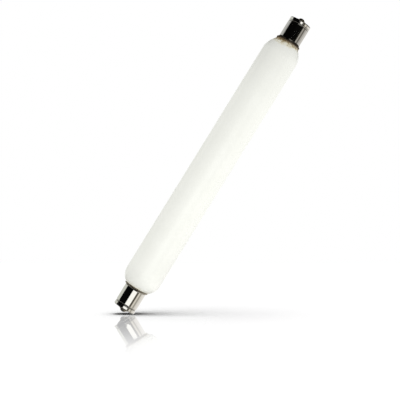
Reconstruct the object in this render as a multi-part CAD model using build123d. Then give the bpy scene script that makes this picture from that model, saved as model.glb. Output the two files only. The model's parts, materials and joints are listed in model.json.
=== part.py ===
from build123d import *
from dataclasses import dataclass
import math
import os

# Double-ended tubular lamp: an opal glass tube with a plain contact cap cemented on each end.
# Millimetres. +Z runs along the tube, and the origin is the middle of the lamp.
# Each piece of an end is a turned profile in radius and height, made for the upper end and turned
# over for the lower end. The caps are alike, but the glass is blown rounder at the lower end.

# Whole lamp
overall_length = 221.0  # contact tip to contact tip
cap_length = 15.15  # rim of the cap to the edge of its mouth

# Glass tube
tube_diameter = 25.0
glass_wall = 0.8
upper_shoulder_radius = 12.0  # blown shoulder, tangent to the side of the tube
upper_shoulder_slope = 38.0  # degrees from the axis, where the shoulder runs in under the cap
lower_shoulder_radius = 9.5
lower_shoulder_slope = 56.0
neck_fillet = 1.2  # hollow corner between shoulder and neck
neck_rounding = 2.2  # closed end of the neck, outside
neck_inner_rounding = 1.4  # closed end of the neck, inside
seal_thickness = 1.5  # glass across the closed end
seal_diameter = 3.0  # bead of glass where the lead wire comes out
seal_length = 1.2
seal_gap = 0.8  # between the bead and the eyelet barrel

# Cap shell, drawn sheet
cap_diameter = 15.0
shell_wall = 0.35
flare_reach = 0.9  # the mouth's edge stands this far outside the shell
flare_height = 1.5
groove_width = 1.3  # rolled groove that grips the insulator
groove_depth = 0.28
groove_edge = 0.2  # inside radius where the sheet turns into the groove
rim_band = 1.5  # plain band between the groove and the rim's rounding
rim_rounding = 0.6
lip_width = 1.7  # flat of the turned-in lip

# Cement
upper_cement_bed = 0.64  # between the mouth's edge and the glass
upper_cement_bead = 1.4  # squeezed out along the glass
lower_cement_bed = 0.25
lower_cement_bead = 0.5
cement_thickness = 0.95  # between the shell and the neck
cement_depth = 5.2  # from the edge of the mouth

# Insulator
insulator_grip = 1.85  # below the groove
insulator_crown = 0.85  # rise from the lip to the contact plate

# Contact plate with its eyelet barrel
plate_diameter = 5.2
plate_thickness = 0.3
barrel_diameter = 2.4
barrel_wall = 0.45
barrel_reach = 0.5  # past the inner face of the insulator

# Solder contact and lead wire
solder_diameter = 4.4
solder_height = 1.2  # above the plate
solder_flat = 1.2  # diameter of the flat on the tip
solder_plug = 1.8  # depth of solder in the barrel
solder_cover = 0.6  # solder between the wire's end and the tip
wire_diameter = 0.5

# Heights, from the tip down
tip_z = overall_length / 2
solder_z = tip_z - solder_height
plate_z = solder_z - plate_thickness
rim_z = plate_z - insulator_crown
rounding_z = rim_z - rim_rounding
groove_top_z = rounding_z - rim_band
groove_foot_z = groove_top_z - groove_width
insulator_z = groove_foot_z - insulator_grip
barrel_z = insulator_z - barrel_reach
seal_z = barrel_z - seal_gap
neck_z = seal_z - seal_length
mouth_z = rim_z - cap_length
flare_z = mouth_z + flare_height
cement_z = mouth_z + cement_depth
wire_z = tip_z - solder_cover

# Radii
tube_r = tube_diameter / 2
cap_r = cap_diameter / 2
mouth_r = cap_r + flare_reach
bore_r = cap_r - shell_wall
neck_r = bore_r - cement_thickness
corner_r = cap_r - rim_rounding
lip_r = corner_r - lip_width
plate_r = plate_diameter / 2
barrel_r = barrel_diameter / 2
barrel_bore_r = barrel_r - barrel_wall
seal_r = seal_diameter / 2
solder_r = solder_diameter / 2
flat_r = solder_flat / 2
wire_r = wire_diameter / 2

# Flared mouth: an arc leaves the shell's side and ends at the mouth's edge
flare_angle = 2 * math.atan(flare_reach / flare_height)
edge_r = mouth_r - shell_wall * math.cos(flare_angle)
edge_z = mouth_z - shell_wall * math.sin(flare_angle)

# Rolled groove: how far the sheet turns at its edges
groove_turn = 2 * math.atan(2 * groove_depth / groove_width)

# Directions in a profile
up = Vector(0, 0, 1)
out = Vector(1, 0, 0)
up_flare = Vector(-math.sin(flare_angle), 0, math.cos(flare_angle))
into_groove = Vector(-math.sin(groove_turn), 0, math.cos(groove_turn))
out_of_groove = Vector(math.sin(groove_turn), 0, math.cos(groove_turn))


def at(r, z):
    """A point of a profile, at a radius and a height."""
    return Vector(r, 0, z)


def path(start, *steps):
    """Edges of a profile from a start point. A step is a point for a straight run, or a point
    with the direction in which an arc to it sets off."""
    edges = []
    here = start
    for step in steps:
        if isinstance(step, tuple):
            there, heading = step
            edges.append(TangentArc(here, there, tangent=heading))
        else:
            there = step
            edges.append(Line(here, there))
        here = there
    return edges


def turned(edges):
    """The solid that a closed profile sweeps around the axis."""
    return revolve(make_face(edges), Axis.Z)


@dataclass
class Shoulder:
    """How the glass narrows at one end: an arc leaves the side of the tube and runs on as a cone
    under the cap, which passes the mouth's inner edge at the cement's bed."""

    radius: float
    degrees: float
    bed: float

    def __post_init__(self):
        self.slope = math.radians(self.degrees)
        self.up_cone = Vector(-math.sin(self.slope), 0, math.cos(self.slope))
        self.off_cone = Vector(math.cos(self.slope), 0, math.sin(self.slope))
        self.cone_r = edge_r - self.bed / math.cos(self.slope)
        arc_end_r = tube_r - self.radius * (1 - math.cos(self.slope))
        arc_end_z = edge_z - (arc_end_r - self.cone_r) / math.tan(self.slope)
        self.arc_end = at(arc_end_r, arc_end_z)
        self.start_z = arc_end_z - self.radius * math.sin(self.slope)

    def neck_corner(self, inset):
        """Where the fillet of the neck leaves the cone and where it meets the neck. The inset is
        0 for the outside of the glass and the wall for the inside."""
        r = neck_r - inset
        fall = self.cone_r - inset / math.cos(self.slope) - r
        corner = at(r, edge_z + fall / math.tan(self.slope))
        run = (neck_fillet + inset) * math.tan(self.slope / 2)
        return corner - self.up_cone * run, corner + up * run

    def glass_steps(self, inset, end_z, rounding):
        """From the side of the tube to the flat of the closed end."""
        r = neck_r - inset
        leave_cone, meet_neck = self.neck_corner(inset)
        return [
            (self.arc_end - self.off_cone * inset, up),
            leave_cone,
            (meet_neck, self.up_cone),
            at(r, end_z - rounding),
            (at(r - rounding, end_z), up),
        ]


upper_shoulder = Shoulder(upper_shoulder_radius, upper_shoulder_slope, upper_cement_bed)
lower_shoulder = Shoulder(lower_shoulder_radius, lower_shoulder_slope, lower_cement_bed)


def both_ends(upper, lower):
    """A closed profile from its two ends, each from the side of the tube to the axis."""
    turned_over = [mirror(edge, Plane.XY) for edge in lower]
    side = Line(turned_over[0] @ 0, upper[0] @ 0)
    axis = Line(upper[-1] @ 1, turned_over[-1] @ 1)
    return [side, *upper, axis, *turned_over]


def glass_outside(shoulder):
    """Outside of the glass at one end, with the bead that seals the lead wire."""
    return path(
        at(tube_r, shoulder.start_z),
        *shoulder.glass_steps(0, neck_z, neck_rounding),
        at(seal_r, neck_z),
        at(seal_r, seal_z),
        at(0, seal_z),
    )


def glass_inside(shoulder):
    """The sealed space at one end."""
    inner_z = neck_z - seal_thickness
    return path(
        at(tube_r - glass_wall, shoulder.start_z),
        *shoulder.glass_steps(glass_wall, inner_z, neck_inner_rounding),
        at(0, inner_z),
    )


def glass_tube():
    """The closed tube: shoulders, necks and seals outside, and the sealed space inside."""
    whole = both_ends(glass_outside(upper_shoulder), glass_outside(lower_shoulder))
    space = both_ends(glass_inside(upper_shoulder), glass_inside(lower_shoulder))
    return turned(whole) - turned(space)


def groove_steps(r, turn_in):
    """Through the rolled groove at one face of the sheet. The turn in is the radius at the
    groove's edges, and the root's radius follows from the width and the depth."""
    drop = turn_in * (1 - math.cos(groove_turn))
    run = turn_in * math.sin(groove_turn)
    return [
        at(r, groove_foot_z),
        (at(r - drop, groove_foot_z + run), up),
        (at(r - drop, groove_top_z - run), into_groove),
        (at(r, groove_top_z), out_of_groove),
    ]


def bore_steps():
    """Inside face of the shell, from the groove to the edge of the lip."""
    return [
        *groove_steps(bore_r, groove_edge),
        at(bore_r, rounding_z),
        (at(corner_r, rim_z - shell_wall), up),
        at(lip_r, rim_z - shell_wall),
        at(lip_r, rim_z),
    ]


def cap_shell():
    """Drawn sleeve of even wall: flared mouth, rolled groove, rounded rim and turned-in lip."""
    inside = path(at(edge_r, edge_z), (at(bore_r, flare_z), up_flare), *bore_steps())
    outside = path(
        at(edge_r, edge_z),
        at(mouth_r, mouth_z),
        (at(cap_r, flare_z), up_flare),
        *groove_steps(cap_r, groove_edge + shell_wall),
        at(cap_r, rounding_z),
        (at(corner_r, rim_z), up),
        at(lip_r, rim_z),
    )
    return turned([*inside, *outside])


def cap_cement(shoulder, bead):
    """Cement between shell and neck, with the bead that shows below the mouth."""
    leave_cone, meet_neck = shoulder.neck_corner(0)
    return turned(
        path(
            at(edge_r, edge_z),
            (at(bore_r, flare_z), up_flare),
            at(bore_r, cement_z),
            at(neck_r, cement_z),
            meet_neck,
            (leave_cone, -up),
            at(shoulder.cone_r, edge_z) - shoulder.up_cone * bead,
            (at(edge_r, edge_z), shoulder.up_cone + shoulder.off_cone),
        )
    )


def cap_insulator():
    """Glass cast into the shell's end: it fills groove, rim and lip, and crowns up to the plate."""
    return turned(
        path(
            at(barrel_r, insulator_z),
            at(bore_r, insulator_z),
            *bore_steps(),
            at(plate_r, plate_z),
            at(barrel_r, plate_z),
            at(barrel_r, insulator_z),
        )
    )


def contact_plate():
    """Plate on the insulator's crown, with the eyelet barrel that goes through to the inside."""
    return turned(
        path(
            at(barrel_bore_r, barrel_z),
            at(barrel_r, barrel_z),
            at(barrel_r, plate_z),
            at(plate_r, plate_z),
            at(plate_r, solder_z),
            at(barrel_bore_r, solder_z),
            at(barrel_bore_r, barrel_z),
        )
    )


def contact_solder():
    """Solder dome with a flat tip, its plug in the barrel and the hole that the wire fills."""
    plug_z = solder_z - solder_plug
    return turned(
        path(
            at(0, tip_z),
            at(flat_r, tip_z),
            (at(solder_r, solder_z), out),
            at(barrel_bore_r, solder_z),
            at(barrel_bore_r, plug_z),
            at(wire_r, plug_z),
            at(wire_r, wire_z),
            at(0, wire_z),
            at(0, tip_z),
        )
    )


def lead_wire():
    """Wire from the glass seal up into the solder."""
    return Pos(0, 0, (seal_z + wire_z) / 2) * Cylinder(wire_r, wire_z - seal_z)


def end_pieces(shoulder, bead):
    """All pieces of one end, by name, in the place of the upper end."""
    return {
        "cap_shell": cap_shell(),
        "cap_cement": cap_cement(shoulder, bead),
        "cap_insulator": cap_insulator(),
        "contact_plate": contact_plate(),
        "contact_solder": contact_solder(),
        "lead_wire": lead_wire(),
    }


pieces = {"glass_tube": glass_tube()}
for name, shape in end_pieces(upper_shoulder, upper_cement_bead).items():
    pieces["upper_" + name] = shape
for name, shape in end_pieces(lower_shoulder, lower_cement_bead).items():
    pieces["lower_" + name] = Rot(180, 0, 0) * shape

os.makedirs("parts", exist_ok=True)
for name, shape in pieces.items():
    export_step(shape, f"parts/{name}.step")
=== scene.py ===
import json
import math
import random

import bmesh
import bpy
from mathutils import Matrix, Vector


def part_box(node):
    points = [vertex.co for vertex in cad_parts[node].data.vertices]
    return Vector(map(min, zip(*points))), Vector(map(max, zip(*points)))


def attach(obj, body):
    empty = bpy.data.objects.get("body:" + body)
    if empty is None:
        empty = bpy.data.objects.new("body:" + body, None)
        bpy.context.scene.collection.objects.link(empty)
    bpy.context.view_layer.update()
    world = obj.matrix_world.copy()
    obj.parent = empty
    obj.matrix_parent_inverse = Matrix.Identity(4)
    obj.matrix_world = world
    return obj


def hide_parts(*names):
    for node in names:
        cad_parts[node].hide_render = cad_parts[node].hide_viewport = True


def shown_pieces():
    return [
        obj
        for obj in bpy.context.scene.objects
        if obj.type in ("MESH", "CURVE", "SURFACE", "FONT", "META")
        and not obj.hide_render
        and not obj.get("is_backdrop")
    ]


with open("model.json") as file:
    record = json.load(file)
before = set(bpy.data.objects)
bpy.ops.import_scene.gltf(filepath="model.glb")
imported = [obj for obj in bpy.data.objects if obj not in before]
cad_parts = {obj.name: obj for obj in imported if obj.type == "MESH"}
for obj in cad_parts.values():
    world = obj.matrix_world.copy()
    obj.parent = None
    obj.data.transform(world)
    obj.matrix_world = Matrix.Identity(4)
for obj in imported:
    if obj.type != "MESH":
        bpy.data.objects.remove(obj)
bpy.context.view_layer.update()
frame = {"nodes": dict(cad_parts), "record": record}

# A double-ended tubular lamp: opal glass tube, and on each end a cap shell, its cement, a black
# glass insulator, a contact plate and a solder contact. Lengths are in millimetres unless a name
# says otherwise, and heights run along the tube from its middle. The caps are alike, and the glass
# is blown rounder at the lower end.
MM = 0.001


# Sizes read from the frame, at the upper end
def span(node):
    """Radius, lowest and highest height of a CAD node."""
    low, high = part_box(node)
    return min(-low.x, -low.y, high.x, high.y) / MM, low.z / MM, high.z / MM


tube_r, _, seal_z = span("glass_tube")
mouth_r, edge_z, rim_z = span("upper_cap_shell")
_, _, cement_z = span("upper_cap_cement")
_, insulator_z, plate_z = span("upper_cap_insulator")
plate_r, barrel_z, solder_z = span("upper_contact_plate")
solder_r, plug_z, tip_z = span("upper_contact_solder")

mounts = {mount["name"]: mount for mount in frame["record"]["mounts"]}
cap_wall = mounts["upper_cap"]
cap_r = cap_wall["dims"]["r_mm"]
cap_middle_z = cap_wall["pos_m"][2] / MM
flare_z = cap_middle_z - cap_wall["dims"]["length_mm"] / 2
groove_foot_z = cap_middle_z + cap_wall["dims"]["length_mm"] / 2

# Sizes of the forms between those
shell_wall = 0.35
sheet_edge = 0.1  # rounding on the cut edges of the sheet
flare_height = 1.5
groove_width = 1.3
groove_depth = 0.28
groove_edge = 0.2
band_taper = 0.137  # the band between groove and rim is rolled this much lower at the groove
rim_rounding = 0.6
lip_width = 1.7
neck_fillet = 1.2
neck_rounding = 2.2
seal_r = 1.5
seal_length = 1.2
cement_thickness = 0.95
crown_bulge = 0.16  # the cast insulator swells this much over a straight cone
barrel_r = 1.2
barrel_bore_r = 0.75
plate_edge = 0.13
solder_flat_r = 0.6
wire_r = 0.25
wire_cover = 0.6  # solder over the end of the lead wire

bore_r = cap_r - shell_wall
neck_r = bore_r - cement_thickness
corner_r = cap_r - rim_rounding
lip_r = corner_r - lip_width
rounding_z = rim_z - rim_rounding
groove_top_z = groove_foot_z + groove_width
groove_turn = 2 * math.atan(2 * groove_depth / groove_width)
flare_angle = 2 * math.atan((mouth_r - cap_r) / flare_height)
mouth_z = flare_z - flare_height
edge_r = mouth_r - shell_wall * math.cos(flare_angle)
neck_z = seal_z - seal_length

# The photograph's view: how the lamp leans in it, where its middle is and how large it is
PHOTO_PIXELS = 400
LEAN = math.radians(31.73)
LAMP_MIDDLE_PIXEL = (212.3, 165.2)
PIXELS_PER_MM = 1.5533
LENS = 105.0  # millimetres, as the sensor's width
SENSOR = 36.0

photo_right = Vector((math.cos(LEAN), 0, math.sin(LEAN)))
photo_up = Vector((-math.sin(LEAN), 0, math.cos(LEAN)))
photo_back = photo_right.cross(photo_up)

SEGMENTS = 160
SHARP = math.radians(40)
ON_AXIS = 1e-6
NEARLY = 1e-4  # heights this close are taken as equal
WHITE = (1.0, 1.0, 1.0)


# Turned meshes
def at(r, z):
    """A profile point, at a radius and a height."""
    return Vector((r, z))


def toward(angle):
    """A heading in a profile: 0 is up the axis, and positive turns outward."""
    return Vector((math.sin(angle), math.cos(angle)))


UP = toward(0)
OUT = toward(math.pi / 2)


def run(here, there, count):
    """Points of a straight run, without its start."""
    return [here.lerp(there, k / count) for k in range(1, count + 1)]


def arc(here, there, heading, count):
    """Points of the arc that sets off along heading and ends there, without its start."""
    side = Vector((-heading.y, heading.x))
    chord = there - here
    radius = chord.length_squared / (2 * chord.dot(side))
    sweep = 2 * math.atan2(chord.dot(side), chord.dot(heading))
    points = []
    for k in range(1, count + 1):
        turn = sweep * k / count
        points.append(here + radius * (math.sin(turn) * heading + (1 - math.cos(turn)) * side))
    return points


def path(start, *steps):
    """Profile points from a start. A step is a point and a count for a straight run, and has
    a heading too for an arc."""
    points = [start]
    for there, count, *heading in steps:
        if heading:
            points += arc(points[-1], there, heading[0], count)
        else:
            points += run(points[-1], there, count)
    return points


def lathe(name, profile, side=1, shape=None):
    """A closed skin turned about the axis. The profile starts and ends on the axis or closes on
    itself, side -1 turns it over to the lower end, and shape moves each point at each angle."""
    bm = bmesh.new()
    rings = []
    for point in profile:
        ring = []
        for k in range(1 if point.x < ON_AXIS else SEGMENTS):
            angle = 2 * math.pi * k / SEGMENTS
            r, z = shape(angle, point) if shape else point
            place = Vector((r * math.cos(angle), r * math.sin(angle), side * z))
            ring.append(bm.verts.new(place * MM))
        rings.append(ring)
    closing = [] if len(rings[0]) == 1 else [(rings[-1], rings[0])]
    for low, high in list(zip(rings, rings[1:])) + closing:
        for k in range(SEGMENTS):
            steps = ((low, k), (low, k + 1), (high, k + 1), (high, k))
            corners = [ring[step % len(ring)] for ring, step in steps]
            bm.faces.new(dict.fromkeys(corners))
    bmesh.ops.recalc_face_normals(bm, faces=bm.faces)
    mesh = bpy.data.meshes.new(name)
    bm.to_mesh(mesh)
    bm.free()
    mesh.shade_smooth()
    mesh.set_sharp_from_angle(angle=SHARP)
    piece = bpy.data.objects.new(name, mesh)
    bpy.context.scene.collection.objects.link(piece)
    return piece


def waves(seed, counts):
    """A smooth uneven value round the axis, from 0 to 1, with the given numbers of waves."""
    draw = random.Random(seed)
    phases = [draw.uniform(0, 2 * math.pi) for _ in counts]

    def value(angle):
        total = sum(math.cos(n * angle + phase) for n, phase in zip(counts, phases))
        return 0.5 + 0.5 * total / len(counts)

    return value


def smooth(value, start, end):
    """0 before start, 1 after end, and an even rise between them."""
    part = min(max((value - start) / (end - start), 0), 1)
    return part * part * (3 - 2 * part)


# Profiles of the sub-parts
class Shoulder:
    """How the glass narrows at one end: an arc leaves the tube's side and runs on as a cone under
    the cap. The bed is the cement between the cone and the mouth, and the bead shows below it."""

    def __init__(self, radius, degrees, bed, bead):
        self.radius = radius
        self.slope = math.radians(degrees)
        self.up_cone = toward(-self.slope)
        self.cone_r = edge_r - bed / math.cos(self.slope)
        arc_end_r = tube_r - radius * (1 - math.cos(self.slope))
        arc_end_z = edge_z - (arc_end_r - self.cone_r) / math.tan(self.slope)
        self.arc_end = at(arc_end_r, arc_end_z)
        self.start_z = arc_end_z - radius * math.sin(self.slope)
        self.foot = at(self.cone_r, edge_z) - self.up_cone * bead
        corner = at(neck_r, edge_z + (self.cone_r - neck_r) / math.tan(self.slope))
        leave = neck_fillet * math.tan(self.slope / 2)
        self.leave_cone = corner - self.up_cone * leave
        self.meet_neck = corner + UP * leave


SHOULDERS = {
    "upper": Shoulder(radius=12.0, degrees=38, bed=0.64, bead=1.4),
    "lower": Shoulder(radius=9.5, degrees=56, bed=0.25, bead=0.5),
}


def glass_half(shoulder):
    """Outside of the glass from its middle to the seal of one end."""
    return path(
        at(tube_r, 0),
        (at(tube_r, shoulder.start_z), 60),
        (shoulder.arc_end, 26, UP),
        (shoulder.leave_cone, 6),
        (shoulder.meet_neck, 6, shoulder.up_cone),
        (at(neck_r, neck_z - neck_rounding), 3),
        (at(neck_r - neck_rounding, neck_z), 8, UP),
        (at(seal_r, neck_z), 3),
        (at(seal_r, seal_z), 2),
        (at(0, seal_z), 2),
    )


def glass_profile():
    """The whole outside of the glass, from the lower seal to the upper one."""
    lower = glass_half(SHOULDERS["lower"])
    turned_over = [at(point.x, -point.y) for point in reversed(lower[1:])]
    return turned_over + glass_half(SHOULDERS["upper"])


def groove(r, turn_in):
    """Through the rolled groove on one face of the sheet."""
    drop = turn_in * (1 - math.cos(groove_turn))
    rise = turn_in * math.sin(groove_turn)
    return [
        (at(r, groove_foot_z), 8),
        (at(r - drop, groove_foot_z + rise), 5, UP),
        (at(r - drop, groove_top_z - rise), 9, toward(-groove_turn)),
        (at(r, groove_top_z), 5, toward(groove_turn)),
    ]


def bore():
    """Inside of the shell from the groove to the edge of the lip."""
    return [
        *groove(bore_r, groove_edge),
        (at(bore_r, rounding_z), 2),
        (at(corner_r, rim_z - shell_wall), 9, UP),
        (at(lip_r, rim_z - shell_wall), 3),
    ]


def shell_profile():
    """The drawn sheet all round: outside from the mouth to the lip, then inside back."""
    flare = toward(-flare_angle)
    across = Vector((math.cos(flare_angle), math.sin(flare_angle)))
    edge, mouth = at(edge_r, edge_z), at(mouth_r, mouth_z)
    outside = path(
        edge + across * sheet_edge,
        (mouth - across * sheet_edge, 1),
        (mouth + flare * sheet_edge, 4, across),
        (at(cap_r, flare_z), 12, flare),
        *groove(cap_r, groove_edge + shell_wall)[:-1],
        (at(cap_r - band_taper, groove_top_z), 5, toward(groove_turn)),
        (at(cap_r, rounding_z), 10),
        (at(corner_r, rim_z), 10, UP),
        (at(lip_r + sheet_edge, rim_z), 3),
        (at(lip_r, rim_z - sheet_edge), 4, -OUT),
    )
    inside = path(
        edge + across * sheet_edge,
        (edge + flare * sheet_edge, 4, -across),
        (at(bore_r, flare_z), 12, flare),
        *bore(),
    )
    return outside + inside[:0:-1]


def cement_profile(shoulder):
    """The cement all round: bed against the shell, top, bed against the neck, and bead."""
    edge = at(edge_r, edge_z)
    off_cone = Vector((shoulder.up_cone.y, -shoulder.up_cone.x))
    return path(
        edge,
        (at(bore_r, flare_z), 12, toward(-flare_angle)),
        (at(bore_r, cement_z), 3),
        (at(neck_r, cement_z), 2),
        (shoulder.meet_neck, 2),
        (shoulder.leave_cone, 6, -UP),
        (shoulder.foot, 5),
        (edge, 12, (shoulder.up_cone + off_cone).normalized()),
    )[:-1]


def insulator_profile():
    """The cast glass all round: inner face, grip in the shell, crown and eyelet hole."""
    crown_start, crown_end = at(lip_r, rim_z), at(plate_r, plate_z)
    chord = (crown_end - crown_start).normalized()
    swell = 2 * math.atan(2 * crown_bulge / (crown_end - crown_start).length)
    heading = Matrix.Rotation(-swell, 2) @ chord
    return path(
        at(barrel_r, insulator_z),
        (at(bore_r, insulator_z), 4),
        *bore(),
        (crown_start, 1),
        (crown_end, 16, heading),
        (at(barrel_r, plate_z), 3),
        (at(barrel_r, insulator_z), 4),
    )[:-1]


def plate_profile():
    """The contact plate and its barrel, with the plate's edge rounded."""
    return path(
        at(barrel_bore_r, barrel_z),
        (at(barrel_r, barrel_z), 2),
        (at(barrel_r, plate_z), 4),
        (at(plate_r - plate_edge, plate_z), 4),
        (at(plate_r, plate_z + plate_edge), 5, OUT),
        (at(plate_r, solder_z - plate_edge), 1),
        (at(plate_r - plate_edge, solder_z), 5, UP),
        (at(barrel_bore_r, solder_z), 4),
        (at(barrel_bore_r, barrel_z), 4),
    )[:-1]


def solder_profile():
    """The solder dome from its flat tip, its plug in the barrel and the hole for the wire."""
    wire_z = tip_z - wire_cover
    return path(
        at(0, tip_z),
        (at(solder_flat_r, tip_z), 5),
        (at(solder_r, solder_z), 14, OUT),
        (at(barrel_bore_r, solder_z), 4),
        (at(barrel_bore_r, plug_z), 3),
        (at(wire_r, plug_z), 2),
        (at(wire_r, wire_z), 3),
        (at(0, wire_z), 2),
    )


# Uneven forms: none of them grows past the CAD solid
side_hollow = 0.035  # long hollows along the tube's side
round_hollow = 0.03  # hollows round the tube
blown_hollow = 0.05  # added to those where the shoulders were blown
bead_loss = 0.45  # share of the cement's bead that is missing where it is thinnest
crown_sink = 0.07
solder_lobe = 0.07  # share of the dome's radius
solder_slope = 0.1


def glass_unevenness():
    """Drawn glass: long shallow hollows in the side, deeper where the shoulders were blown."""
    slow, quick = waves(3, (2, 3)), waves(4, (3, 5))
    pitch, bend, twist = 17, 3, 60  # millimetres a radian, radians, millimetres a radian
    ends_from, ends_by = 5, 1  # the hollows run out this far below the cement
    blown_from, blown_by = 10, 3  # below and above the start of the shoulder

    def shape(angle, point):
        shoulder = SHOULDERS["upper" if point.y > 0 else "lower"]
        height = abs(point.y)
        body = 1 - smooth(height, shoulder.foot.y - ends_from, shoulder.foot.y - ends_by)
        drift = 0.5 + 0.5 * math.sin(point.y / pitch + bend * slow(angle))
        blown = smooth(height, shoulder.start_z - blown_from, shoulder.start_z + blown_by)
        deep = round_hollow + blown_hollow * blown
        dip = side_hollow * drift + deep * quick(angle + point.y / twist)
        return point.x - dip * body, point.y

    return shape


def cement_unevenness(seed, shoulder):
    """A squeezed-out bead: its foot and its swell vary round the glass."""
    size = waves(seed, (2, 5, 9, 14, 23))
    root = at((edge_r + shoulder.cone_r) / 2, edge_z)
    bead_top = edge_z - 0.02

    def shape(angle, point):
        if not shoulder.foot.y - NEARLY < point.y < bead_top:
            return point
        return point.lerp(root, bead_loss * size(angle))

    return shape


def crown_unevenness(seed):
    """The crown of the cast glass: slightly lower on one side, with a few shallow sinks."""
    sink = waves(seed, (1, 2, 4))
    off_lip, off_plate, plate_margin = 0.15, 0.1, 0.05  # heights over which the sinks come in

    def shape(angle, point):
        middle = smooth(point.y, rim_z, rim_z + off_lip)
        middle *= smooth(plate_z + plate_margin, point.y, point.y + off_plate)
        return point.x, point.y - crown_sink * sink(angle) * middle

    return shape


def solder_unevenness(seed):
    """A hand-soldered dome: lobed foot and a sloping side."""
    lobe, tilt = waves(seed, (2, 3, 5)), waves(seed + 50, (1, 4))
    even_r = solder_flat_r / 2  # nothing moves inside this
    off_tip, off_plate = 0.5, 0.3  # heights over which the slope comes in

    def shape(angle, point):
        if point.y < solder_z - NEARLY or point.x < even_r:
            return point
        side = smooth(point.x, even_r, solder_r)
        low = smooth(tip_z - point.y, 0, off_tip) * smooth(point.y - solder_z, 0, off_plate)
        r = point.x * (1 - solder_lobe * lobe(angle) * side)
        return r, point.y - solder_slope * tilt(angle) * low

    return shape


# Materials
NOISE_LOW, NOISE_HIGH = 0.3, 0.7  # most of a noise's values lie between these
MIX_A, MIX_B, MIX_RESULT = 6, 7, 2  # the colour sockets of a Mix node


def past(height, *reaches):
    """Heights in metres, each so many millimetres past a height."""
    return [(height + reach) * MM for reach in reaches]


class Nodes:
    """A material's node tree, with short calls for the nodes that these materials use."""

    def __init__(self, name):
        self.material = bpy.data.materials.new(name)
        self.material.use_nodes = True
        self.tree = self.material.node_tree
        self.shader = self.tree.nodes["Principled BSDF"]
        self.place = self.add("ShaderNodeTexCoord").outputs["Object"]

    def add(self, kind, **settings):
        node = self.tree.nodes.new(kind)
        for key, value in settings.items():
            setattr(node, key, value)
        return node

    def join(self, source, socket):
        """Links a node's output to a socket, or sets the socket to a plain value."""
        if isinstance(source, bpy.types.NodeSocket):
            self.tree.links.new(source, socket)
        else:
            socket.default_value = source

    def set(self, **values):
        """Values or links for the shader's sockets, named with _ for a space."""
        for name, value in values.items():
            self.join(value, self.shader.inputs[name.replace("_", " ")])

    def stretched(self, scale):
        """The place, scaled along each axis."""
        node = self.add("ShaderNodeMapping")
        self.join(self.place, node.inputs["Vector"])
        node.inputs["Scale"].default_value = scale
        return node.outputs["Vector"]

    def noise(self, size, detail=2.0, rough=0.5, vector=None):
        """Noise from 0 to 1 whose grains are about this many millimetres across."""
        node = self.add("ShaderNodeTexNoise")
        self.join(vector or self.place, node.inputs["Vector"])
        node.inputs["Scale"].default_value = 1 / (size * MM)
        node.inputs["Detail"].default_value = detail
        node.inputs["Roughness"].default_value = rough
        return node.outputs["Fac"]

    def ramp(self, value, *stops):
        """A colour ramp through (position, colour) stops."""
        node = self.add("ShaderNodeValToRGB")
        elements = node.color_ramp.elements
        while len(elements) < len(stops):
            elements.new(0.5)
        for element, (position, colour) in zip(elements, stops):
            element.position = position
            element.color = (*colour, 1)
        self.join(value, node.inputs["Fac"])
        return node.outputs["Color"]

    def tones(self, noise, low_tone, high_tone):
        """A colour that follows a noise from one tone to another."""
        return self.ramp(noise, (NOISE_LOW, low_tone), (NOISE_HIGH, high_tone))

    def span(self, value, low, high, start=0.0, end=1.0, kind="SMOOTHSTEP"):
        """A value between low and high, mapped to start and end."""
        node = self.add("ShaderNodeMapRange", interpolation_type=kind)
        limits = {"From Min": low, "From Max": high, "To Min": start, "To Max": end}
        for socket, number in limits.items():
            self.join(number, node.inputs[socket])
        self.join(value, node.inputs["Value"])
        return node.outputs["Result"]

    def vary(self, noise, start, end):
        """A value that follows a noise from start to end."""
        return self.span(noise, NOISE_LOW, NOISE_HIGH, start, end)

    def math(self, operation, a, b=0.0):
        node = self.add("ShaderNodeMath", operation=operation)
        self.join(a, node.inputs[0])
        self.join(b, node.inputs[1])
        return node.outputs[0]

    def times(self, product, *others):
        """The product of the values."""
        for other in others:
            product = self.math("MULTIPLY", product, other)
        return product

    def mix(self, factor, a, b, blend="MIX"):
        """Colour a where the factor is 0, and b, or a blend of both, where it is 1."""
        node = self.add("ShaderNodeMix", data_type="RGBA", blend_type=blend)
        self.join(factor, node.inputs["Factor"])
        for source, socket in ((a, MIX_A), (b, MIX_B)):
            colour = (*source, 1) if isinstance(source, tuple) else source
            self.join(colour, node.inputs[socket])
        return node.outputs[MIX_RESULT]

    def axes(self):
        """The place's X, Y and Z, in metres on a piece."""
        node = self.add("ShaderNodeSeparateXYZ")
        self.join(self.place, node.inputs["Vector"])
        return node.outputs

    def end_height(self):
        """Height along the lamp from its middle, the same at both ends."""
        return self.math("ABSOLUTE", self.axes()["Z"])

    def bump(self, height, depth, strength=1.0, normal=None):
        """A bump of about this depth in millimetres, on top of another."""
        node = self.add("ShaderNodeBump")
        self.join(height, node.inputs["Height"])
        node.inputs["Distance"].default_value = depth * MM
        node.inputs["Strength"].default_value = strength
        if normal:
            self.join(normal, node.inputs["Normal"])
        return node.outputs["Normal"]


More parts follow.
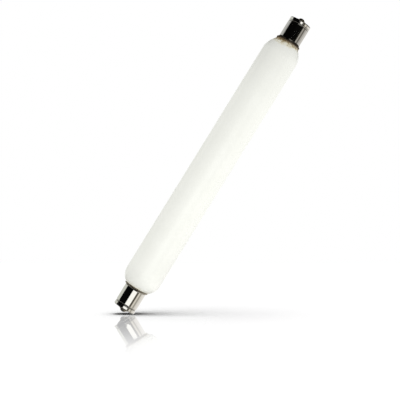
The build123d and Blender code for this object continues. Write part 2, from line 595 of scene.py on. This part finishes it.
def opal_glass():
    """White opal glass with a satin gloss and faint clouds, painted shade darkening it toward the
    ends, more on the left, and brown smears next to the caps."""
    # The last of these tones is painted shade, for the tube's darker ends and left side
    cloud, clean, shade_tone = (0.935, 0.942, 0.880), (0.955, 0.962, 0.905), (0.81, 0.815, 0.765)
    cream, brown, charred = (0.93, 0.885, 0.765), (0.43, 0.34, 0.20), (0.17, 0.11, 0.05)
    # Where the painted shade comes in, in metres up the lamp and from left to right, and how dark
    # it is
    upper_shade_z, upper_shade_x = (0.045, 0.090), (-0.011, -0.003)
    lower_shade_z, lower_shade_x = (-0.078, -0.092), (-0.006, 0.006)
    upper_shade_share, upper_shade_left, lower_shade_left = 0.38, 2.1, 0.8
    # The smears: how ragged their foot is, where it draws back at the right, and by how much
    ragged_foot, drawn_x, drawn_back = 0.0011, (-0.001, 0.0045), -0.0009
    lower_smear_share = 0.35

    nodes = Nodes("opal_glass")
    place = nodes.axes()
    across, height = place["X"], place["Z"]
    opal = nodes.tones(nodes.noise(14, detail=3), cloud, clean)
    # Painted shade: darker toward the upper end, more on the left, and toward the lower end on the
    # left only
    upper_shade = nodes.times(
        nodes.span(height, *upper_shade_z, 0.0, upper_shade_share),
        nodes.span(across, *upper_shade_x, upper_shade_left, 1.0),
    )
    lower_shade = nodes.times(
        nodes.span(height, *lower_shade_z),
        nodes.span(across, *lower_shade_x, lower_shade_left, 0.0),
    )
    shaded_opal = nodes.mix(nodes.math("MAXIMUM", upper_shade, lower_shade), opal, shade_tone)
    ragged = nodes.vary(nodes.noise(2.2, detail=4, rough=0.6), -ragged_foot, ragged_foot)
    drawn = nodes.span(across, *drawn_x, 0.0, drawn_back, "LINEAR")
    up = nodes.math("ADD", nodes.math("ADD", height, ragged), drawn)
    down = nodes.math("ADD", nodes.math("MULTIPLY", height, -1.0), ragged)
    upper_smear = nodes.span(up, *past(edge_z, -5.0, 0.2))
    lower_smear = nodes.span(down, *past(edge_z, -2.4, 0.9))
    smear = nodes.math("MAXIMUM", upper_smear, nodes.times(lower_smear, lower_smear_share))
    tint = nodes.ramp(smear, (0.0, WHITE), (0.30, cream), (0.72, brown), (1.0, charred))
    swell = nodes.bump(nodes.noise(7, detail=2), 0.05, 0.35)
    nodes.set(
        Base_Color=nodes.mix(1.0, shaded_opal, tint, "MULTIPLY"),
        Roughness=nodes.vary(nodes.noise(9, detail=4), 0.16, 0.26),
        IOR=1.5,
        Normal=nodes.bump(nodes.noise(0.35, detail=2), 0.003, 0.12, swell),
    )
    return nodes.material


def nickel_plate():
    """Bright drawn nickel: fine draw rings, faint smudges, grime and painted shade in the groove,
    and a mouth that is tarnished at the lower end and burnt at the upper one."""
    # The third tone is grime with painted shade, for the groove
    smudged, clean, grime_and_shade_tone = (0.84, 0.825, 0.79), (0.89, 0.875, 0.845), (0.09, 0.075, 0.055)
    tarnished, burnt = (0.64, 0.56, 0.44), (0.15, 0.10, 0.045)
    mouth_roughness = 0.42

    nodes = Nodes("nickel_plate")
    rings = nodes.noise(1.0, detail=3, vector=nodes.stretched((0.03, 0.03, 9.0)))
    smudge = nodes.noise(3.5, detail=4, rough=0.6)
    height = nodes.end_height()
    mouth = nodes.span(height, *past(mouth_z, 1.0, -0.2))
    worn = nodes.times(mouth, nodes.span(smudge, 0.2, 0.5))
    # Grime and painted shade: the groove and the edge of the band next to it are darkened
    groove_grime_and_shade = nodes.times(
        nodes.span(height, *past(groove_foot_z, 0.3, 0.8)),
        nodes.span(height, *past(groove_top_z, 0.5, 0.15)),
        nodes.span(smudge, 0.2, 0.6, 0.05, 0.2),
    )
    upper_end = nodes.span(nodes.axes()["Z"], -0.01, 0.01)
    plate = nodes.tones(smudge, smudged, clean)
    plate = nodes.mix(worn, plate, nodes.mix(upper_end, tarnished, burnt))
    roughness = nodes.span(smudge, 0.3, 0.75, 0.04, 0.08)
    lines = nodes.bump(rings, 0.006, 0.12)
    nodes.set(
        Base_Color=nodes.mix(groove_grime_and_shade, plate, grime_and_shade_tone),
        Metallic=1.0,
        Roughness=nodes.math("MAXIMUM", roughness, nodes.times(mouth, mouth_roughness)),
        Normal=nodes.bump(nodes.noise(2.5, detail=2), 0.012, 0.25, lines),
    )
    return nodes.material


def basing_cement():
    """Brown basing cement, grainy and matt: dark in the joint, paler where it is squeezed out, and
    painted lighter toward the right."""
    nodes = Nodes("basing_cement")
    grain = nodes.noise(0.35, detail=4, rough=0.65)
    foot = nodes.span(nodes.end_height(), *past(edge_z, -0.1, -1.0))
    joint = nodes.tones(grain, (0.016, 0.010, 0.006), (0.075, 0.048, 0.026))
    burnt = nodes.tones(grain, (0.11, 0.07, 0.03), (0.32, 0.23, 0.12))
    # Painted light: the squeezed-out cement is blended to a paler tone toward the right, where the
    # light falls
    painted_lit_tone = nodes.tones(grain, (0.44, 0.37, 0.27), (0.66, 0.58, 0.46))
    squeezed_and_lit = nodes.mix(nodes.span(nodes.axes()["X"], -0.003, 0.006), burnt, painted_lit_tone)
    nodes.set(
        Base_Color=nodes.mix(foot, joint, squeezed_and_lit),
        Roughness=nodes.vary(grain, 0.75, 0.95),
        Normal=nodes.bump(grain, 0.06, 0.8),
    )
    return nodes.material


def black_glass():
    """Cast black glass: nearly black, glossy, with flow marks and small pits."""
    nodes = Nodes("black_glass")
    flow = nodes.noise(1.6, detail=4, rough=0.55)
    pits = nodes.span(nodes.noise(0.45, detail=2), 0.22, 0.36)
    nodes.set(
        Base_Color=nodes.tones(flow, (0.006, 0.006, 0.007), (0.022, 0.020, 0.022)),
        Roughness=nodes.vary(flow, 0.10, 0.24),
        IOR=1.55,
        Normal=nodes.bump(pits, 0.04, 0.6, nodes.bump(flow, 0.05, 0.4)),
    )
    return nodes.material


def brass():
    """Stamped brass, dulled and spotted."""
    spotted, plain = (0.40, 0.29, 0.13), (0.66, 0.50, 0.25)
    nodes = Nodes("brass")
    spots = nodes.noise(0.8, detail=4, rough=0.6)
    nodes.set(
        Base_Color=nodes.ramp(spots, (NOISE_LOW, spotted), (0.55, plain)),
        Metallic=1.0,
        Roughness=nodes.vary(spots, 0.42, 0.24),
        Normal=nodes.bump(spots, 0.01, 0.4),
    )
    return nodes.material


def solder():
    """Tin solder: grey-white metal with a frosted grain and a tip that the holder has rubbed."""
    bright, rubbed_share = (0.74, 0.735, 0.72), 0.7
    nodes = Nodes("solder")
    frost = nodes.noise(0.5, detail=4, rough=0.6)
    rubbed = nodes.span(nodes.end_height(), *past(tip_z, -0.12, -0.02))
    cast = nodes.tones(frost, (0.50, 0.49, 0.47), (0.68, 0.675, 0.66))
    polish = nodes.span(rubbed, 0, 1, 1.0, rubbed_share)
    nodes.set(
        Base_Color=nodes.mix(rubbed, cast, bright),
        Metallic=1.0,
        Roughness=nodes.times(nodes.vary(frost, 0.13, 0.26), polish),
        Normal=nodes.bump(frost, 0.03, 0.5),
    )
    return nodes.material


def lead_wire():
    """Tinned lead wire with drawing marks along it."""
    nodes = Nodes("lead_wire")
    marks = nodes.noise(0.2, detail=3, vector=nodes.stretched((1.0, 1.0, 0.05)))
    nodes.set(
        Base_Color=nodes.tones(marks, (0.46, 0.44, 0.41), (0.62, 0.60, 0.57)),
        Metallic=1.0,
        Roughness=nodes.vary(marks, 0.25, 0.40),
        Normal=nodes.bump(marks, 0.01, 0.4),
    )
    return nodes.material


# The lamp
MATERIALS = {
    make.__name__: make()
    for make in (opal_glass, nickel_plate, basing_cement, black_glass, brass, solder, lead_wire)
}


def dress(piece, node, slot):
    """The piece takes the node's place, on its body and with its slot's finish."""
    piece.data.materials.append(MATERIALS[slot])
    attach(piece, "root")
    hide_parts(node)


def dress_end(end, side, seed):
    """All pieces of one end."""
    shoulder = SHOULDERS[end]
    bead = cement_unevenness(seed, shoulder)
    crown = crown_unevenness(seed + 1)
    dome = solder_unevenness(seed + 2)
    parts = (
        ("cap_shell", shell_profile(), None, "nickel_plate"),
        ("cap_cement", cement_profile(shoulder), bead, "basing_cement"),
        ("cap_insulator", insulator_profile(), crown, "black_glass"),
        ("contact_plate", plate_profile(), None, "brass"),
        ("contact_solder", solder_profile(), dome, "solder"),
    )
    for part, profile, shape, slot in parts:
        node = f"{end}_{part}"
        dress(lathe("fine_" + node, profile, side, shape), node, slot)
    wire = frame["nodes"][f"{end}_lead_wire"]
    wire.data.materials.clear()
    wire.data.materials.append(MATERIALS["lead_wire"])


tube = lathe("fine_glass_tube", glass_profile(), shape=glass_unevenness())
dress(tube, "glass_tube", "opal_glass")
dress_end("upper", side=1, seed=11)
dress_end("lower", side=-1, seed=31)


# Camera: level with the lamp, square to its axis, and rolled as the lamp leans
def add_camera():
    data = bpy.data.cameras.new("photo_view")
    data.lens = LENS
    data.sensor_width = SENSOR
    camera = bpy.data.objects.new("photo_view", data)
    bpy.context.scene.collection.objects.link(camera)
    right = (PHOTO_PIXELS / 2 - LAMP_MIDDLE_PIXEL[0]) / PIXELS_PER_MM * MM
    up = (LAMP_MIDDLE_PIXEL[1] - PHOTO_PIXELS / 2) / PIXELS_PER_MM * MM
    distance = LENS / SENSOR * PHOTO_PIXELS / PIXELS_PER_MM * MM
    turn = Matrix((photo_right, photo_up, photo_back)).transposed().to_4x4()
    place = photo_right * right + photo_up * up + photo_back * distance
    camera.matrix_world = Matrix.Translation(place) @ turn
    bpy.context.scene.camera = camera


add_camera()

# Floor: square to the photograph's upright, touching the lowest point of the lamp. It shows from
# above only, is white where nothing shades it, and mirrors the lamp faintly near the contact.
FLOOR_REACH = 0.6  # metres, each way
FLOOR_COLOUR = (0.20, 0.20, 0.20)
MIRROR_SHARE = 0.56
# Where the mirror image fades, in metres from the contact: none of it, and all of it
MIRROR_FAR = (-0.26, -0.04)  # in front of the lamp
MIRROR_NEAR = (-0.006, -0.024)
MIRROR_RIGHT = (0.075, 0.03)
MIRROR_LEFT = (-0.06, -0.02)


def lowest_point():
    """The lamp's lowest point along the photograph's upright."""
    points = (v.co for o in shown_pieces() for v in o.data.vertices)
    return min(points, key=lambda point: point.dot(photo_up)).copy()


def floor_material():
    nodes = Nodes("floor")
    tree = nodes.tree
    path_of_ray = nodes.add("ShaderNodeLightPath").outputs
    seen = nodes.math("MAXIMUM", path_of_ray["Is Camera Ray"], path_of_ray["Is Glossy Ray"])
    seen = nodes.math("MAXIMUM", seen, path_of_ray["Is Transmission Ray"])
    matt = nodes.add("ShaderNodeBsdfDiffuse")
    matt.inputs["Color"].default_value = (*FLOOR_COLOUR, 1)
    mirror = nodes.add("ShaderNodeBsdfGlossy")
    mirror.inputs["Color"].default_value = (*WHITE, 1)
    mirror.inputs["Roughness"].default_value = 0.0
    place = nodes.axes()
    share = nodes.times(
        seen,
        nodes.span(place["Y"], *MIRROR_FAR, 0.0, MIRROR_SHARE),
        nodes.span(place["Y"], *MIRROR_NEAR),
        nodes.span(place["X"], *MIRROR_RIGHT),
        nodes.span(place["X"], *MIRROR_LEFT),
    )
    polished = nodes.add("ShaderNodeMixShader")
    nodes.join(share, polished.inputs["Fac"])
    tree.links.new(matt.outputs[0], polished.inputs[1])
    tree.links.new(mirror.outputs[0], polished.inputs[2])
    clear = nodes.add("ShaderNodeBsdfTransparent")
    one_sided = nodes.add("ShaderNodeMixShader")
    nodes.join(nodes.add("ShaderNodeNewGeometry").outputs["Backfacing"], one_sided.inputs["Fac"])
    tree.links.new(polished.outputs[0], one_sided.inputs[1])
    tree.links.new(clear.outputs[0], one_sided.inputs[2])
    output = tree.nodes["Material Output"]
    tree.nodes.remove(nodes.shader)
    tree.links.new(one_sided.outputs[0], output.inputs["Surface"])
    return nodes.material


def add_floor():
    contact = lowest_point()
    mesh = bpy.data.meshes.new("floor")
    reach = FLOOR_REACH
    corners = [(-reach, -reach, 0), (reach, -reach, 0), (reach, reach, 0), (-reach, reach, 0)]
    mesh.from_pydata(corners, [], [(0, 1, 2, 3)])
    mesh.materials.append(floor_material())
    floor = bpy.data.objects.new("floor", mesh)
    bpy.context.scene.collection.objects.link(floor)
    turn = Matrix((photo_right, -photo_back, photo_up)).transposed().to_4x4()
    floor.matrix_world = Matrix.Translation(contact) @ turn
    floor.visible_glossy = False
    floor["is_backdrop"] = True
    return floor


floor = add_floor()

# Studio: a soft white room, brighter behind the lamp and at its right, with grey, beige and white
# cards that only the bright metal and the gloss of the glass show
ROOM_LEVEL = 0.985
ROOM_TILT = (0.20, 0.40, -0.04)  # how much brighter toward +X, +Y and +Z
CARD_SOFTNESS = math.radians(2.5)
STRIP = (1.12, 1.12, 1.08)

# Cards by azimuth about the lamp, 0 at the camera and positive to the right, by elevation toward
# the upper end, both in degrees, and by colour. A later card covers an earlier one.
CARDS = (
    # right of the lamp, each with a paler lower part
    ((110, 150), (-90, 7), (0.84, 0.82, 0.78)),
    ((110, 150), (7, 90), (0.62, 0.605, 0.58)),
    ((88, 110), (-90, 7), (0.74, 0.715, 0.665)),
    ((88, 110), (7, 90), (0.46, 0.445, 0.42)),
    ((69, 88), (-90, 7), (0.39, 0.37, 0.325)),
    ((68, 88), (7, 90), (0.15, 0.142, 0.125)),
    ((52, 69), (-90, 7), (0.72, 0.685, 0.60)),
    ((55, 68), (7, 90), (0.36, 0.345, 0.31)),
    ((26, 52), (-90, 7), (0.11, 0.10, 0.08)),
    ((26, 55), (7, 90), (0.004, 0.004, 0.003)),
    # left of the lamp
    ((-108, -93), (7, 90), (0.36, 0.365, 0.35)),
    ((-150, -108), (7, 90), (0.50, 0.505, 0.49)),
    ((-150, -93), (-90, 7), (0.62, 0.635, 0.58)),
    # dark overhead and underfoot
    ((-180, 180), (19, 90), (0.03, 0.028, 0.025)),
    ((-180, 180), (-90, -24), (0.15, 0.143, 0.13)),
    ((32, 180), (-55, -24), (0.38, 0.365, 0.33)),
    ((-180, 180), (-90, -60), (0.015, 0.014, 0.013)),
    # dark at the left front
    ((-93, -5), (-42, 90), (0.002, 0.002, 0.002)),
    # in front: a white strip, pinched in its middle, on a dark ground that is paler at the top
    ((-13, 32), (-90, 5), (0.03, 0.028, 0.026)),
    ((-13, 32), (5, 26), (0.003, 0.003, 0.003)),
    ((-13, 32), (26, 90), (0.15, 0.145, 0.13)),
    ((-13, 32), (-13, -3), STRIP),
    ((-13, 32), (2, 5), STRIP),
    ((0, 22), (-13, 5), STRIP),
)


class WorldNodes(Nodes):
    """The same short calls for the world's node tree."""

    def __init__(self):
        self.world = bpy.data.worlds.new("studio")
        self.world.use_nodes = True
        self.tree = self.world.node_tree
        self.place = self.add("ShaderNodeTexCoord").outputs["Generated"]

    def within(self, angle, degrees):
        """1 where the angle is in the range, with soft edges."""
        low, high = (math.radians(value) for value in degrees)
        away = self.math("ABSOLUTE", self.math("SUBTRACT", angle, (low + high) / 2))
        half = (high - low) / 2
        return self.span(away, half + CARD_SOFTNESS / 2, half - CARD_SOFTNESS / 2)


def add_world():
    nodes = WorldNodes()
    place = nodes.axes()
    azimuth = nodes.math("ARCTAN2", place["X"], nodes.math("MULTIPLY", place["Y"], -1.0))
    elevation = nodes.math("ARCSINE", place["Z"])
    shown = WHITE
    for azimuths, elevations, colour in CARDS:
        card = nodes.times(nodes.within(azimuth, azimuths), nodes.within(elevation, elevations))
        shown = nodes.mix(card, shown, colour)
    tilt = nodes.add("ShaderNodeVectorMath", operation="DOT_PRODUCT")
    nodes.join(nodes.place, tilt.inputs[0])
    tilt.inputs[1].default_value = ROOM_TILT
    level = nodes.math("ADD", tilt.outputs["Value"], ROOM_LEVEL)
    ray = nodes.add("ShaderNodeLightPath").outputs
    lit = nodes.mix(ray["Is Glossy Ray"], level, shown)
    plain = nodes.math("MAXIMUM", ray["Is Camera Ray"], ray["Is Transmission Ray"])
    plain = nodes.math("MAXIMUM", plain, ray["Is Singular Ray"])
    nodes.join(nodes.mix(plain, lit, WHITE), nodes.tree.nodes["Background"].inputs["Color"])
    nodes.world.cycles.sampling_method = "NONE"
    bpy.context.scene.world = nodes.world


add_world()

# Lamps: a wide panel in front of the glass, two small fills beside the foot for the underside of
# the lower shoulder, and one overhead that only the floor takes, for the shadow
PANEL_AZIMUTH = math.radians(3)
PANEL_DISTANCE = 0.27  # metres, as the height and the size
PANEL_HEIGHT = -0.03
PANEL_SIZE = (0.48, 0.135)  # across and along the lamp
PANEL_WATTS = 0.222
# Metres to the right, ahead and up from the contact, then size in metres, and watts
FILLS = (
    (0.10, 0.10, 0.0, 0.06, 0.016),
    (0.024, 0.012, 0.005, 0.012, 0.0006),
)
SHADOW_STRENGTH = 13.8
SHADOW_SPREAD = math.radians(47)
SHADOW_LEAN = 0.24  # how far to the right of straight above, for each unit up


def add_lamp(name, kind, place, aim):
    """A lamp that shines from a place toward an aim."""
    lamp = bpy.data.objects.new(name, bpy.data.lights.new(name, kind))
    bpy.context.scene.collection.objects.link(lamp)
    turn = (Vector(aim) - Vector(place)).to_track_quat("-Z", "Y").to_matrix().to_4x4()
    lamp.matrix_world = Matrix.Translation(Vector(place)) @ turn
    lamp.visible_glossy = False
    lamp.visible_camera = False
    return lamp


def light_only(lamp, takers):
    """Only these objects take the lamp's light."""
    group = bpy.data.collections.new(lamp.name + "_takers")
    for taker in takers:
        group.objects.link(taker)
    lamp.light_linking.receiver_collection = group


def add_lamps():
    ahead = Vector((math.sin(PANEL_AZIMUTH), -math.cos(PANEL_AZIMUTH), 0)) * PANEL_DISTANCE
    middle = Vector((0, 0, PANEL_HEIGHT))
    panel = add_lamp("panel", "AREA", middle + ahead, middle)
    panel.data.shape = "RECTANGLE"
    panel.data.size, panel.data.size_y = PANEL_SIZE
    panel.data.energy = PANEL_WATTS
    light_only(panel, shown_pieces())
    foot = lowest_point()
    for right, forward, up, size, watts in FILLS:
        spot = foot + right * photo_right + forward * photo_back + up * photo_up
        fill = add_lamp("fill", "AREA", spot, foot)
        fill.data.size = size
        fill.data.energy = watts
        light_only(fill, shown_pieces())
    overhead = add_lamp("overhead", "SUN", photo_up + SHADOW_LEAN * photo_right, (0, 0, 0))
    overhead.data.energy = SHADOW_STRENGTH
    overhead.data.angle = SHADOW_SPREAD
    light_only(overhead, [floor])


add_lamps()

bpy.context.scene.view_settings.view_transform = "Standard"
